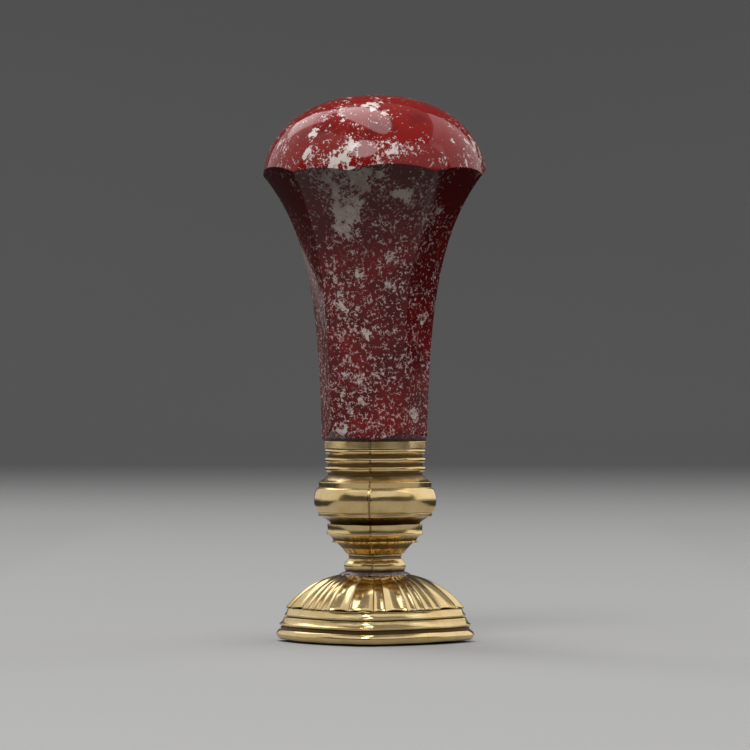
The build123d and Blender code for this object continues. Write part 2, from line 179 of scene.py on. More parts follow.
def arris_radius(height):
    """Radius of the stone's arrises: STEM_R + FLARE_R exp((z - FLARE_Z) / FLARE_LENGTH)."""
    return STEM_R + FLARE_R * np.exp((height - FLARE_Z) / FLARE_LENGTH)


def dome_radius(height):
    """Dome of revolution: R (1 - t^2)^(1 / p), where t runs from 0 at its widest level to 1 at the top."""
    top = span("stone_handle")[1]
    up = np.clip((height - DOME_Z) / (top - DOME_Z), 0, 1)
    return DOME_R * (1 - up ** 2) ** (1 / DOME_POWER)


def seen_on_stone(right, height):
    """Place just inside the stone's near side that the eye sees so far right of the axis and so high."""
    radius = 0.97 * min(arris_radius(height), dome_radius(height))
    depth = math.sqrt(max(radius ** 2 - right ** 2, 0))
    return facing(90, 0) * right + facing(0, 0) * depth + Vector((0, 0, height))


# Outlines

def bow(start, end, sag, steps=8):
    """Points from start to end on a parabola whose middle stands sag outside the chord."""
    share = np.linspace(0, 1, steps)[:, None]
    points = np.array(start) * (1 - share) + np.array(end) * share
    points[:, 0] += 4 * sag * share[:, 0] * (1 - share[:, 0])
    return points


def outline(*stretches):
    """One outline of radius and height from points and bows in order, without doubled points."""
    points = np.vstack([np.atleast_2d(np.array(stretch, float)) for stretch in stretches])
    step = np.linalg.norm(np.diff(points, axis=0), axis=1)
    return points[np.append(True, step > 1e-6)]


def eased(loop, reach):
    """Closed outline with rounded corners.

    A point that turns the outline by more than CORNER_TURN becomes a quadratic Bezier curve that starts and
    ends reach away from it, with one guard point beyond each end to keep the shading of the long faces.
    """
    before = np.roll(loop, 1, 0) - loop
    after = np.roll(loop, -1, 0) - loop
    length_before = np.linalg.norm(before[:, :2], axis=1, keepdims=True)
    length_after = np.linalg.norm(after[:, :2], axis=1, keepdims=True)
    straight = -(before[:, :2] * after[:, :2]).sum(1) / (length_before * length_after)[:, 0]
    corner = straight < math.cos(math.radians(CORNER_TURN))
    most, guard_most = 0.4, 0.45
    share_before = np.minimum(reach / length_before, most)
    share_after = np.minimum(reach / length_after, most)
    begin = (loop + before * share_before)[:, None]
    end = (loop + after * share_after)[:, None]
    t = np.linspace(0, 1, 5)[None, :, None]
    curve = (1 - t) ** 2 * begin + 2 * t * (1 - t) * loop[:, None] + t ** 2 * end
    guard_before = (loop + before * np.minimum(2 * share_before, guard_most))[:, None]
    guard_after = (loop + after * np.minimum(2 * share_after, guard_most))[:, None]
    points = np.concatenate([guard_before, curve, guard_after], axis=1)
    points[~corner] = loop[~corner][:, None]
    each = points.shape[1]
    keep = corner[:, None] | (np.arange(each) == each // 2)
    return points[keep]


def shelter(points, stack):
    """How sheltered from rubbing and from light each outline point lies, from 0 to 1.

    The outline of the whole mount stands proud of the point by so much above and below it, less a slope with
    the distance; the smaller of the two counts most, since grime and painted shade stay in grooves.
    """
    rise = stack[None, :, 1] - points[:, None, 1]
    proud = stack[None, :, 0] - points[:, None, 0] - SHELTER_SLOPE * np.abs(rise)
    proud = np.where(np.abs(rise) < SHELTER_REACH, proud, 0)
    above = np.max(np.where(rise > 0, proud, 0), axis=1).clip(0)
    below = np.max(np.where(rise < 0, proud, 0), axis=1).clip(0)
    depth = SMALLER_SHARE * np.minimum(above, below) + (1 - SMALLER_SHARE) * np.maximum(above, below)
    return np.clip(depth / SHELTER_DEPTH, 0, 1)


# Meshes

def around(radius, turn, height):
    """Points at a radius, turn and height about the seal's axis."""
    return np.stack([radius * np.cos(turn), radius * np.sin(turn), height + 0 * turn], axis=-1)


def hand_made(points):
    """Points moved in and out and up and down by slow sine waves of their turn and height."""
    x, y, height = np.moveaxis(points, -1, 0)
    turn = np.arctan2(y, x)
    out = np.sin(3 * turn + 0.21 * height) + 0.7 * np.sin(7 * turn - 0.9 * height + 1.3)
    lift = np.sin(2 * turn + 0.8) + 0.8 * np.sin(5 * turn + 1.1 * height)
    lift = lift + 0.6 * np.sin(11 * turn - 2 * height)
    grow = 1 + WANDER * out / np.maximum(np.hypot(x, y), 1)
    return np.stack([x * grow, y * grow, height + WANDER * lift], axis=-1)


def skin(node, points, closed, finish, slot, **attributes):
    """Closed mesh in a CAD node's place, over a grid of points whose columns run once round the axis.

    The rows join up in a ring if closed, or else end in a pole at each end. Attributes are numbers for each
    row, or for each point.
    """
    name = f"{node}_finish"
    rows, columns = points.shape[:2]
    index = np.arange(rows * columns).reshape(rows, columns)
    beside = np.roll(index, -1, axis=1)
    if closed:
        faces = np.stack([index, beside, np.roll(beside, -1, axis=0), np.roll(index, -1, axis=0)], axis=-1)
        faces = faces.reshape(-1, 4).tolist()
        places = points.reshape(-1, 3)
    else:
        faces = np.stack([index[:-1], beside[:-1], beside[1:], index[1:]], axis=-1).reshape(-1, 4).tolist()
        pole = np.full(columns, rows * columns)
        faces += np.stack([beside[0], index[0], pole], axis=-1).tolist()
        faces += np.stack([index[-1], beside[-1], pole + 1], axis=-1).tolist()
        places = np.vstack([points.reshape(-1, 3), points[0].mean(axis=0), points[-1].mean(axis=0)])
    mesh = bpy.data.meshes.new(name)
    mesh.from_pydata((places * MM).tolist(), [], faces)
    mesh.shade_smooth()
    for label, values in attributes.items():
        spread = np.zeros(len(places), np.float32)
        spread[:rows * columns] = np.broadcast_to(values, (rows, columns)).ravel()
        mesh.attributes.new(label, "FLOAT", "POINT").data.foreach_set("value", spread)
    mesh.materials.append(finish)
    mesh.update()
    piece = bpy.data.objects.new(name, mesh)
    bpy.context.scene.collection.objects.link(piece)
    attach(piece, "root")
    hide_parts(node)


# Shader maths

class Wire:
    """A number, colour or vector in a finish's node tree. Arithmetic with it adds Math nodes."""

    def __init__(self, finish, socket):
        self.finish = finish
        self.socket = socket

    def __add__(self, other):
        return self.finish.math("ADD", self, other)

    def __radd__(self, other):
        return self.finish.math("ADD", other, self)

    def __sub__(self, other):
        return self.finish.math("SUBTRACT", self, other)

    def __rsub__(self, other):
        return self.finish.math("SUBTRACT", other, self)

    def __mul__(self, other):
        return self.finish.math("MULTIPLY", self, other)

    def __rmul__(self, other):
        return self.finish.math("MULTIPLY", other, self)

    def __truediv__(self, other):
        return self.finish.math("DIVIDE", self, other)


class Finish:
    """One material's node tree, written as expressions."""

    def __init__(self, name):
        self.material = bpy.data.materials.new(name)
        self.material.use_nodes = True
        self.tree = self.material.node_tree
        self.tree.nodes.clear()

    def node(self, kind, settings, inputs, output=0):
        """Any node: its settings first, then the values or links of its sockets, by name or number."""
        made = self.tree.nodes.new(kind)
        for name, value in settings.items():
            setattr(made, name, value)
        for name, value in inputs.items():
            if isinstance(value, Wire):
                self.tree.links.new(value.socket, made.inputs[name])
            else:
                made.inputs[name].default_value = value
        return Wire(self, made.outputs[output]) if made.outputs else None

    def math(self, operation, a, b):
        return self.node("ShaderNodeMath", {"operation": operation}, {0: a, 1: b})

    def vector(self, operation, a, b, output=0):
        return self.node("ShaderNodeVectorMath", {"operation": operation}, {0: a, 1: b}, output)

    def place(self):
        """Object coordinates, which are the seal's own frame in metres."""
        return self.node("ShaderNodeTexCoord", {}, {}, "Object")

    def height(self, place):
        """Height of a place in millimetres."""
        return self.node("ShaderNodeSeparateXYZ", {}, {0: place}, "Z") / MM

    def attribute(self, name):
        return self.node("ShaderNodeAttribute", {"attribute_name": name}, {}, "Fac")

    def noise(self, place, size, detail=4.0, rough=0.55, swirl=0.0, output="Fac"):
        """Cloudy noise whose largest features are about size millimetres apart."""
        inputs = {"Vector": place, "Scale": 1 / (size * MM), "Detail": detail, "Roughness": rough}
        inputs["Distortion"] = swirl
        return self.node("ShaderNodeTexNoise", {}, inputs, output)

    def stretched(self, place, scale, turn=(0.0, 0.0, 0.0)):
        """Coordinates turned and scaled, so that a pattern on them is drawn out."""
        angles = [math.radians(angle) for angle in turn]
        return self.node("ShaderNodeMapping", {}, {"Vector": place, "Rotation": angles, "Scale": scale})

    def warped(self, place, size, reach):
        """Coordinates pushed about by noise, up to about half of reach millimetres each way."""
        push = self.vector("SUBTRACT", self.noise(place, size, 3.0, output="Color"), (0.5, 0.5, 0.5))
        push = self.vector("MULTIPLY", push, (reach * MM,) * 3)
        return self.vector("ADD", place, push)

    def step(self, value, low, high):
        """Smooth step from 0 at low to 1 at high."""
        inputs = {"Value": value, "From Min": low, "From Max": high}
        return self.node("ShaderNodeMapRange", {"interpolation_type": "SMOOTHSTEP"}, inputs)

    def band(self, value, rise, fall):
        """1 from the end of its rise to the start of its fall, and 0 outside them."""
        return self.step(value, *rise) * (1 - self.step(value, *fall))

    def near(self, place, centre, reach):
        """1 about a centre in millimetres, fading to 0 at reach."""
        centre = tuple(value * MM for value in centre)
        return 1 - self.step(self.vector("DISTANCE", place, centre, "Value"), 0.25 * reach * MM, reach * MM)

    def mix(self, a, b, share):
        """Colour a turning to colour b with share."""
        a, b = (value if isinstance(value, Wire) else (*value, 1.0) for value in (a, b))
        return self.node("ShaderNodeMix", {"data_type": "RGBA"}, {0: share, 6: a, 7: b}, 2)

    def bump(self, height, depth):
        """Normal of a height that swings by depth millimetres."""
        return self.node("ShaderNodeBump", {}, {"Height": height, "Distance": depth * MM, "Strength": 1.0})

    def surface(self, **sockets):
        """Principled surface; sockets are named with underscores."""
        inputs = {name.replace("_", " "): value for name, value in sockets.items()}
        for name, value in inputs.items():
            if isinstance(value, tuple):
                inputs[name] = (*value, 1.0)
        shader = self.node("ShaderNodeBsdfPrincipled", {}, {"IOR": inputs.pop("IOR", 1.5), **inputs})
        self.node("ShaderNodeOutputMaterial", {}, {"Surface": shader})
        return self.material


# Finishes

# Where the jasper gathers white or stays red, as the eye sees it: right of the axis, height, reach, amount
PALE_PLACES = [
    (-8.6, 73.2, 2.4, 0.06), (-6.2, 74.0, 3.0, 0.07), (-3.4, 75.0, 3.2, 0.06), (-1.0, 73.0, 2.6, 0.07),
    (0.6, 75.4, 2.2, 0.05), (1.6, 74.4, 3.4, 0.08), (3.8, 75.4, 3.0, 0.06), (5.4, 74.6, 2.6, 0.11),
    (-11.2, 77.6, 3.0, 0.02), (-7.9, 80.2, 3.0, 0.06), (-4.4, 81.9, 3.4, 0.06), (-0.4, 81.9, 3.0, 0.05),
    (2.6, 80.7, 2.4, 0.04), (14.4, 73.6, 3.4, 0.06), (15.6, 75.0, 3.0, 0.06), (-14.2, 74.2, 3.0, 0.03),
    (-8.2, 70.4, 3.4, 0.13), (-4.4, 70.4, 4.2, 0.17), (-1.4, 70.7, 3.4, 0.14), (-3.7, 66.8, 4.4, 0.15),
    (-4.4, 64.0, 3.6, 0.12), (-6.9, 67.4, 3.4, 0.10), (1.6, 68.6, 3.4, 0.09), (4.6, 67.6, 3.6, 0.09),
    (8.7, 65.8, 3.2, 0.10), (10.6, 66.8, 2.6, 0.07), (7.6, 69.6, 3.4, 0.08),
    (3.1, 59.3, 2.4, 0.10), (-6.8, 57.3, 2.4, 0.11), (-2.0, 56.8, 2.2, 0.12), (3.2, 54.4, 1.8, 0.10),
    (-5.3, 51.5, 2.0, 0.11), (7.4, 49.7, 1.8, 0.13), (-1.5, 47.4, 1.8, 0.10), (5.3, 41.0, 1.6, 0.13),
    (-2.2, 40.4, 1.6, 0.12), (-1.7, 37.1, 1.5, 0.11), (6.2, 35.1, 2.2, 0.16), (-5.3, 32.4, 2.0, 0.15),
    (2.1, 31.9, 1.8, 0.14),
]
RED_PLACES = [
    (-10.2, 77.2, 4.0, 0.09), (-14.2, 68.9, 5.0, 0.16), (12.8, 69.2, 5.0, 0.10), (-11.2, 65.5, 4.0, 0.06),
    (1.8, 60.6, 4.0, 0.06), (0.0, 56.3, 3.0, 0.05), (6.9, 81.7, 5.0, 0.07), (-1.4, 74.6, 1.4, 0.07),
    (8.4, 79.6, 5.0, 0.07), (4.2, 77.4, 3.0, 0.06), (10.6, 76.4, 4.5, 0.05), (-1.6, 38.7, 2.4, 0.03),
    (-1.6, 32.7, 2.2, 0.04),
]


def jasper_gather(f, place, bent):
    """How much white gathers: broad clouds, raised at PALE_PLACES and lowered at RED_PLACES."""
    gather = (f.noise(place, 11.0, 2.0) - 0.5) * 0.20
    for places, sign in ((PALE_PLACES, 1), (RED_PLACES, -1)):
        for right, up, reach, amount in places:
            gather = gather + f.near(bent, seen_on_stone(right, up), reach) * (sign * amount)
    return gather


def jasper_red(f, bent, patches, crown, shade):
    """Red ground: cloudy, veiled in pink about the patches, brighter on the dome by painted light and dark
    under the rim by painted shade.
    """
    clouds = f.step(f.noise(bent, 6.0, 4.0, 0.6), 0.38, 0.66)
    dark_clouds = f.step(f.noise(bent, 8.0, 4.0), 0.54, 0.70)
    veil = f.step(patches, 0.53, 0.63) * (0.30 - 0.22 * shade)
    red = f.mix((0.11, 0.004, 0.005), (0.23, 0.008, 0.008), clouds)
    # Painted light: the red is brighter on the dome
    red = f.mix(red, (0.29, 0.011, 0.008), crown * 0.8)
    # Painted shade: the red is darker under the rim
    red = f.mix(red, (0.085, 0.002, 0.003), shade * 0.8)
    red = f.mix(red, (0.06, 0.003, 0.004), dark_clouds * 0.4)
    return f.mix(red, (0.24, 0.085, 0.095), veil)


def jasper_white(f, bent, patch, stem, crown, shade):
    """White marks: greyish or cream, pinkish down the stem, ochre in spots, brighter on the dome by painted
    light and dull under the rim by painted shade.
    """
    cream = f.step(f.noise(bent, 5.0, 3.0), 0.42, 0.60)
    ochre = f.step(f.noise(bent, 2.6, 4.0), 0.62, 0.70) * (0.6 - 0.35 * stem)
    mottle = f.step(f.noise(bent, 2.0, 5.0, 0.65), 0.38, 0.62)
    white = f.mix((0.70, 0.61, 0.60), (0.76, 0.69, 0.57), cream)
    white = f.mix(white, (0.72, 0.54, 0.52), stem * (1 - patch) * 0.8)
    # Painted light: the white is brighter on the dome
    white = f.mix(white, (0.86, 0.73, 0.69), crown * 0.8)
    white = f.mix(white, (0.44, 0.24, 0.07), ochre)
    # Painted shade: the white is dulled and darker under the rim
    dull = f.mix((0.21, 0.13, 0.12), (0.42, 0.33, 0.27), mottle)
    return f.mix(white, dull, shade * 0.8)


def red_jasper():
    """Polished jasper: red ground, white ragged patches about the rim, and white flecks and squiggles below.

    Patches and flecks are two noises cut off at a level, and the patches are broken up by holes and shards.
    Squiggles lie where another noise crosses its middle, in broken stretches. What gathers raises them all,
    and height and the dome weigh each. Below the rim the colours carry painted shade, and on the dome
    painted light. The stone is darker and rougher just above the collar.
    """
    f = Finish("red_jasper")
    place = f.place()
    height = f.height(place)
    bent = f.warped(place, 3.0, 1.6)
    drawn = f.stretched(bent, (1.0, 1.0, 0.7), (20.0, 25.0, 0.0))
    stem = 1 - f.step(height, 58.0, 72.0)
    crown = f.attribute("crown")
    # Painted shade: weight of the darkening below the rim, fading out down to 50 mm, with the dome's rows
    # left out
    shade = f.step(height, 50.0, 69.0) * (1 - crown)
    gather = jasper_gather(f, place, bent)
    scatter = (f.noise(bent, 4.2, 3.0) - 0.5) * 0.22

    holes = f.step(f.noise(bent, 2.4, 4.0, 0.55), 0.49, 0.56) * (0.06 + 0.24 * shade)
    shards = (f.noise(bent, 1.2, 4.0, 0.6) - 0.5) * (0.66 * crown + 0.40 * shade)
    patches = f.noise(drawn, 3.4, 10.0, 0.68, 0.3) + gather + shards - stem * 0.06 - holes
    patch = f.step(patches, 0.595, 0.625)
    flecks = f.noise(f.warped(place, 0.8, 0.5), 0.62, 5.0, 0.62, 0.2) + gather * 0.6 + scatter * 0.6
    fleck = f.step(flecks + stem * 0.005 - crown * 0.045 - shade * 0.030, 0.590, 0.640)
    thread = f.noise(f.warped(place, 1.1, 0.8), 0.85, 2.0, 0.5)
    line = 1 - f.step(f.math("ABSOLUTE", thread - 0.5, 0.0), 0.016, 0.042)
    broken = f.noise(place, 0.8, 3.0, 0.6) + gather * 0.8 + scatter + stem * 0.030 - crown * 0.055
    squiggle = line * f.step(broken - shade * 0.045, 0.520, 0.580)
    pale = f.math("MAXIMUM", f.math("MAXIMUM", patch, fleck), squiggle * 0.85)

    red = jasper_red(f, bent, patches, crown, shade)
    white = jasper_white(f, bent, patch, stem, crown, shade)
    foot = span("reeded_collar")[1]
    joint = 1 - f.step(height, foot + 0.30, foot + 0.80)
    colour = f.mix(f.mix(red, white, pale), (0.035, 0.006, 0.005), joint * 0.85)
    polish = 0.05 + 0.05 * f.noise(place, 7.0, 4.0) + 0.05 * pale + 0.45 * joint
    relief = f.noise(place, 0.9, 3.0) * 0.35 + pale * 0.25
    gloss = {"IOR": 1.54, "Specular_IOR_Level": 0.26}
    return f.surface(Base_Color=colour, Roughness=polish, Normal=f.bump(relief, 0.004), **gloss)


def worn_gold():
    """Polished gold: slow changes of tint and polish, fine rubbing, and brown grime and painted shade in the
    hollows, along corner seams and on the cover.

    In the cup and in the hollow under the knop, a painted reflection of gold in gold: a deeper tint in
    upright streaks.
    """
    f = Finish("worn_gold")
    place = f.place()
    height = f.height(place)
    blotch = f.noise(place, 3.2, 5.0, 0.6)
    fine = f.noise(place, 0.42, 3.0, 0.6)
    rubs = f.noise(f.stretched(place, (1.0, 1.0, 7.0)), 1.6, 4.0, 0.7)
    # Brown grime and painted shade, weighted by sheltered hollows, corner seams, flute ridges and the
    # cover's top
    dirt_and_shade = f.step(f.attribute("grime") * 0.90 + blotch * 0.30, 0.32, 0.85)

    low, high = span("calyx_cup")
    cup = f.band(height, (low - 0.2, low + 0.3), (high - 0.4, high - 0.1))
    low, high = span("knop_foot_ring")
    hollow = f.band(height, (low, low + 0.2), (high - 0.7, high - 0.5))
    # Painted reflection of gold in gold: a deeper tint in upright streaks in the cup and the hollow under
    # the knop
    streaks = f.step(f.noise(f.stretched(place, (1.0, 1.0, 0.08)), 0.6, 1.0), 0.44, 0.56)
    painted_gold_reflection = f.mix((0.82, 0.50, 0.10), (0.30, 0.15, 0.02), streaks)

    tint = f.mix((0.77, 0.58, 0.29), (0.67, 0.475, 0.20), f.step(blotch, 0.38, 0.70))
    tint = f.mix(tint, painted_gold_reflection, (cup + hollow) * 0.85)
    colour = f.mix(tint, (0.085, 0.042, 0.012), dirt_and_shade * 0.92)
    polish = 0.15 + 0.10 * f.step(rubs, 0.42, 0.75) + 0.20 * dirt_and_shade
    relief = fine * 0.22 + f.noise(place, 2.2, 3.0) * 0.9 + rubs * 0.2
    return f.surface(Base_Color=colour, Metallic=1.0, Roughness=polish, Normal=f.bump(relief, 0.012))


def grey_metal():
    """Dull grey ring: mottled, with darker tarnish."""
    f = Finish("dull_grey_metal")
    blotch = f.noise(f.place(), 1.6, 5.0, 0.6)
    colour = f.mix((0.34, 0.32, 0.37), (0.10, 0.09, 0.11), f.step(blotch, 0.42, 0.68))
    return f.surface(Base_Color=colour, Metallic=0.85, Roughness=0.28 + 0.25 * blotch)


def turned_metal(name, light, dark):
    """Plain turned metal, unpolished, with fine rings of the tool."""
    f = Finish(name)
    rings = f.noise(f.stretched(f.place(), (0.3, 0.3, 6.0)), 1.2, 3.0, 0.6)
    colour = f.mix(light, dark, f.step(rings, 0.4, 0.7))
    return f.surface(Base_Color=colour, Metallic=1.0, Roughness=0.32 + 0.2 * rings)


def dark_cement():
    """Dark brown resin cement, grainy and dull."""
    f = Finish("dark_cement")
    grain = f.noise(f.place(), 0.8, 5.0, 0.65)
    colour = f.mix((0.10, 0.06, 0.035), (0.22, 0.15, 0.10), grain)
    return f.surface(Base_Color=colour, Roughness=0.75, Normal=f.bump(grain, 0.05))


def carnelian():
    """Polished orange-red carnelian in faint bands, matt where it is engraved."""
    f = Finish("banded_carnelian")
    engraved = f.attribute("engraved")
    bent = f.warped(f.place(), 8.0, 5.0)
    bands = f.noise(f.stretched(bent, (0.25, 1.6, 1.0), (0.0, 0.0, 27.0)), 3.0, 4.0, 0.5)
    colour = f.mix((0.30, 0.055, 0.018), (0.52, 0.16, 0.05), f.step(bands, 0.34, 0.66))
    colour = f.mix(colour, (0.60, 0.30, 0.17), engraved * 0.35)
    polish = 0.08 + 0.35 * engraved
    return f.surface(Base_Color=colour, Roughness=polish, IOR=1.54)


JASPER = red_jasper()
GOLD = worn_gold()
GREY_METAL = grey_metal()
CARNELIAN = carnelian()
STEEL = turned_metal("turned_steel", (0.46, 0.46, 0.47), (0.30, 0.30, 0.31))
PLAIN_BRASS = turned_metal("plain_brass", (0.66, 0.50, 0.25), (0.48, 0.34, 0.15))
CEMENT = dark_cement()


# Gold mount

MOUNT_BACK = set_back(KNOP_R, KNOP_BOW, SQUARE)
BASE_BACK = set_back(FOOT_R, FOOT_BOW, SQUARE)
MOUNT_TURNS = turns_round(SQUARE, 34, 1.9)
BASE_TURNS = turns_round(SQUARE, 40, 1.7)


def collar_outline():
    """Flat top band over three reeds, each a rounded fillet above a hollow."""
    low, high = span("reeded_collar")
    band_r, reed_r, hollow_r = 7.85, 7.75, 7.33
    band, groove, fillet, count = 1.27, 0.14, 0.54, 3
    pitch = (high - low - band) / count
    stretches = []
    for i in range(count):
        foot = low + i * pitch
        edge = foot + pitch - fillet
        stretches.append(bow((hollow_r, foot), (reed_r, edge), -0.17))
        stretches.append(bow((reed_r, edge), (reed_r, foot + pitch), 0.05, 6))
        stretches.append([(hollow_r, foot + pitch)])
    band_low = high - band + groove
    return outline(*stretches, [(hollow_r, band_low), (band_r, band_low), (band_r, high)])


def shoulder_outline():
    """Tall square edge with a hollow slope up to the collar."""
    low, high = span("shoulder_ring")
    foot_r, edge_r, top_r = 8.70, 8.76, 7.49
    edge_top = low + 0.80
    return outline([(foot_r, low)], bow((edge_r, edge_top), (top_r, high), -0.16))


def knop_outline(node):
    """Half of the knop's swell: from its edge out to KNOP_R by (1 - t^2)^fullness, t = 0 at the joint."""
    low, high = span(node)
    joint, top = span("knop_upper_shell")
    edge_r, fullness = 8.72, 0.62
    height = np.linspace(low, high, 14)
    share = np.clip(1 - ((height - joint) / (top - joint)) ** 2, 0, None)
    return np.stack([edge_r + (KNOP_R - edge_r) * share ** fullness, height], axis=-1)


def knop_foot_outline():
    """Hollow that draws in below the knop's lower square edge."""
    low, high = span("knop_foot_ring")
    foot_r, hollow_r, edge_r = 6.83, 8.62, 8.80
    edge_low = high - 0.53
    return outline(bow((foot_r, low), (hollow_r, edge_low), -0.30), [(edge_r, edge_low), (edge_r, high)])


def step_outline():
    """Slightly hollow band over a bead."""
    low, high = span("step_band")
    bead_r, top_r = 7.37, 7.42
    bead_top = low + 0.34
    bead = bow((bead_r, low), (bead_r, bead_top), 0.17, 9)
    return outline(bead, bow((bead_r, bead_top), (top_r, high), -0.07))


def cup_outline():
    """Small bowl, a thin lip over it, and a hollow up to the step band."""
    low, high = span("calyx_cup")
    foot_r, bowl_r, mouth_r = 4.11, 4.55, 5.95
    lip_r, hollow_r, top_r = 6.60, 6.45, 7.20
    bowl_low, lip_low, lip_top = low + 0.15, high - 1.18, high - 0.87
    bowl = bow((bowl_r, bowl_low), (mouth_r, lip_low), -0.12)
    lip = bow((lip_r, lip_low), (lip_r, lip_top), 0.06, 5)
    return outline([(foot_r, low)], bowl, lip, bow((hollow_r, lip_top), (top_r, high), -0.16))


def neck_outline():
    """Rounded band below, a waist above it, and a thin fillet under the bowl."""
    low, high = span("neck_ring")
    foot_r, band_r, waist_r, fillet_r = 4.50, 4.72, 4.00, 4.13
    band_top, waist_top, fillet_low = low + 1.31, high - 0.34, high - 0.30
    band = bow((foot_r, low), (band_r, band_top), 0.14)
    waist = bow((band_r, band_top), (waist_r, waist_top), -0.14)
    return outline(band, waist, bow((fillet_r, fillet_low), (fillet_r, high), 0.05, 5))


def washer_outline():
    """Low conical ring with a thin upright edge."""
    low, high = span("neck_washer")
    foot_r, top_r, edge = 5.50, 4.80, 0.12
    return outline([(foot_r, low), (foot_r, low + edge), (top_r, high)])


def upper_strip_outline():
    """Square edge over a groove, with a hollow above it."""
    low, high = span("plinth_upper_moulding")
    groove_r, edge_r, top_r = 13.60, 14.00, 13.55
    edge_low = low + 0.22
    edge_top = edge_low + 0.24
    groove = [(groove_r, low), (groove_r, edge_low), (edge_r, edge_low)]
    return outline(groove, bow((edge_r, edge_top), (top_r, high), -0.12))


def middle_strip_outline():
    """Fillet, groove, square edge and a hollow above it."""
    low, high = span("plinth_middle_moulding")
    fillet_r, groove_r, edge_r, top_r = 14.60, 14.20, 14.80, 14.10
    fillet_top = low + 0.42
    edge_low = fillet_top + 0.20
    edge_top = edge_low + 0.26
    fillet = [(fillet_r, low), (fillet_r, fillet_top)]
    groove = [(groove_r, fillet_top), (groove_r, edge_low), (edge_r, edge_low)]
    return outline(fillet, groove, bow((edge_r, edge_top), (top_r, high), -0.16))


def foot_strip_outline():
    """Half-round band."""
    low, high = span("plinth_foot_moulding")
    band_r, swell = 14.80, 0.50
    return outline(bow((band_r, low), (band_r, high), swell, 13))


def bezel_outline():
    """Thin setting, a hair clear of the floor."""
    low, high = span("seal_bezel")
    wall_r, clear = 12.75, 0.02
    return outline([(wall_r, low + clear), (wall_r, high)])


# Each ring: its outline, its bore at the foot and at the top, 1 for a round bore, and easing of its edges
MOUNT_RINGS = {
    "reeded_collar": (collar_outline(), (6.45, 6.45), 0, 0.05),
    "shoulder_ring": (shoulder_outline(), (5.40, 5.40), 0, 0.06),
    "knop_upper_shell": (knop_outline("knop_upper_shell"), (8.27, 7.46), 0, 0.02),
    "knop_lower_shell": (knop_outline("knop_lower_shell"), (7.46, 8.27), 0, 0.02),
    "knop_foot_ring": (knop_foot_outline(), (5.40, 5.40), 0, 0.06),
    "step_band": (step_outline(), (5.40, 5.40), 0, 0.04),
    "calyx_cup": (cup_outline(), (2.40, 4.70), 1, 0.05),
    "neck_ring": (neck_outline(), (2.40, 2.40), 1, 0.05),
    "neck_washer": (washer_outline(), (1.55, 1.55), 1, 0.05),
}
BASE_RINGS = {
    "plinth_upper_moulding": (upper_strip_outline(), (11.80, 11.80), 0, 0.06),
    "plinth_middle_moulding": (middle_strip_outline(), (12.80, 12.80), 0, 0.06),
    "plinth_foot_moulding": (foot_strip_outline(), (12.80, 12.80), 0, 0.08),
    "seal_bezel": (bezel_outline(), (11.55, 12.25), 0, 0.08),
}

# The whole mount's outline, which shelters its hollows; the cover counts with the foot of its flutes
COVER_FOOT = [(COVER_R - 0.55, span("fluted_cover")[0] + rise) for rise in (0.05, 0.35)]
STACK = np.vstack([ring[0] for ring in (*BASE_RINGS.values(), *MOUNT_RINGS.values())] + [COVER_FOOT])


def moulded_ring(node, ring, turns, back, ease, seam, finish, slot):
    """Ring on the bowed square plan: its outline up the outside and its bore down the inside, carried round.

    Grime and painted shade lie in its hollows, and a painted dark reflection lies, as a bell curve of the
    distance, along the soldered seam of each corner.
    """
    outer, (bore_low, bore_high), round_bore, reach = ring
    inner = [(bore_high, outer[-1, 1], round_bore), (bore_low, outer[0, 1], round_bore)]
    loop = np.vstack([np.column_stack([outer, np.zeros(len(outer))]), inner])
    loop = eased(loop, reach)
    corner, height, roundness = loop.T[..., None]
    square = bowed_radius(corner, turns, back, SQUARE, ease)
    radius = square + (corner - square) * roundness
    from_corner = radius * (math.pi / SQUARE - from_middle(turns, SQUARE))
    # Painted dark reflection along the seam of each corner
    seam_line = seam * np.exp(-(from_corner / SEAM_WIDTH) ** 2)
    # Grime and painted shade in the hollows
    grime = np.maximum(shelter(loop[:, :2], STACK)[:, None], seam_line)
    skin(node, hand_made(around(radius, turns, height)), True, finish, slot, grime=grime)


def flute_ridges():
    """Turns of the ridges between flutes in radians, once round, with the first ridge again at the end."""
    narrow = (90 - FLUTE_ROW.count("W") * WIDE_FLUTE) / FLUTE_ROW.count("N")
    widths = np.array([WIDE_FLUTE if flute == "W" else narrow for flute in FLUTE_ROW])
    starts = 45 - WIDE_FLUTE / 2 + FLUTE_TURN + np.append(0, np.cumsum(widths)[:-1])
    quarters = 90 * np.arange(4)[:, None] + starts
    return np.radians(np.append(quarters.ravel(), quarters[0, 0] + 360))


def cover_arc(low, high):
    """Circular arc up the cover's ridges, from its lower edge to its top, that bulges by COVER_BULGE."""
    bottom, top = np.array((COVER_R, low + COVER_EDGE)), np.array((COVER_TOP_R, high))
    run = top - bottom
    chord = np.hypot(*run)
    arc_r = (chord ** 2 / 4 + COVER_BULGE ** 2) / (2 * COVER_BULGE)
    swing = math.asin(chord / 2 / arc_r) * np.linspace(-1, 1, 26)
    along = 0.5 + arc_r * np.sin(swing) / chord
    out = arc_r * np.cos(swing) - (arc_r - COVER_BULGE)
    return bottom + run * along[:, None] + np.array((run[1], -run[0])) / chord * out[:, None]


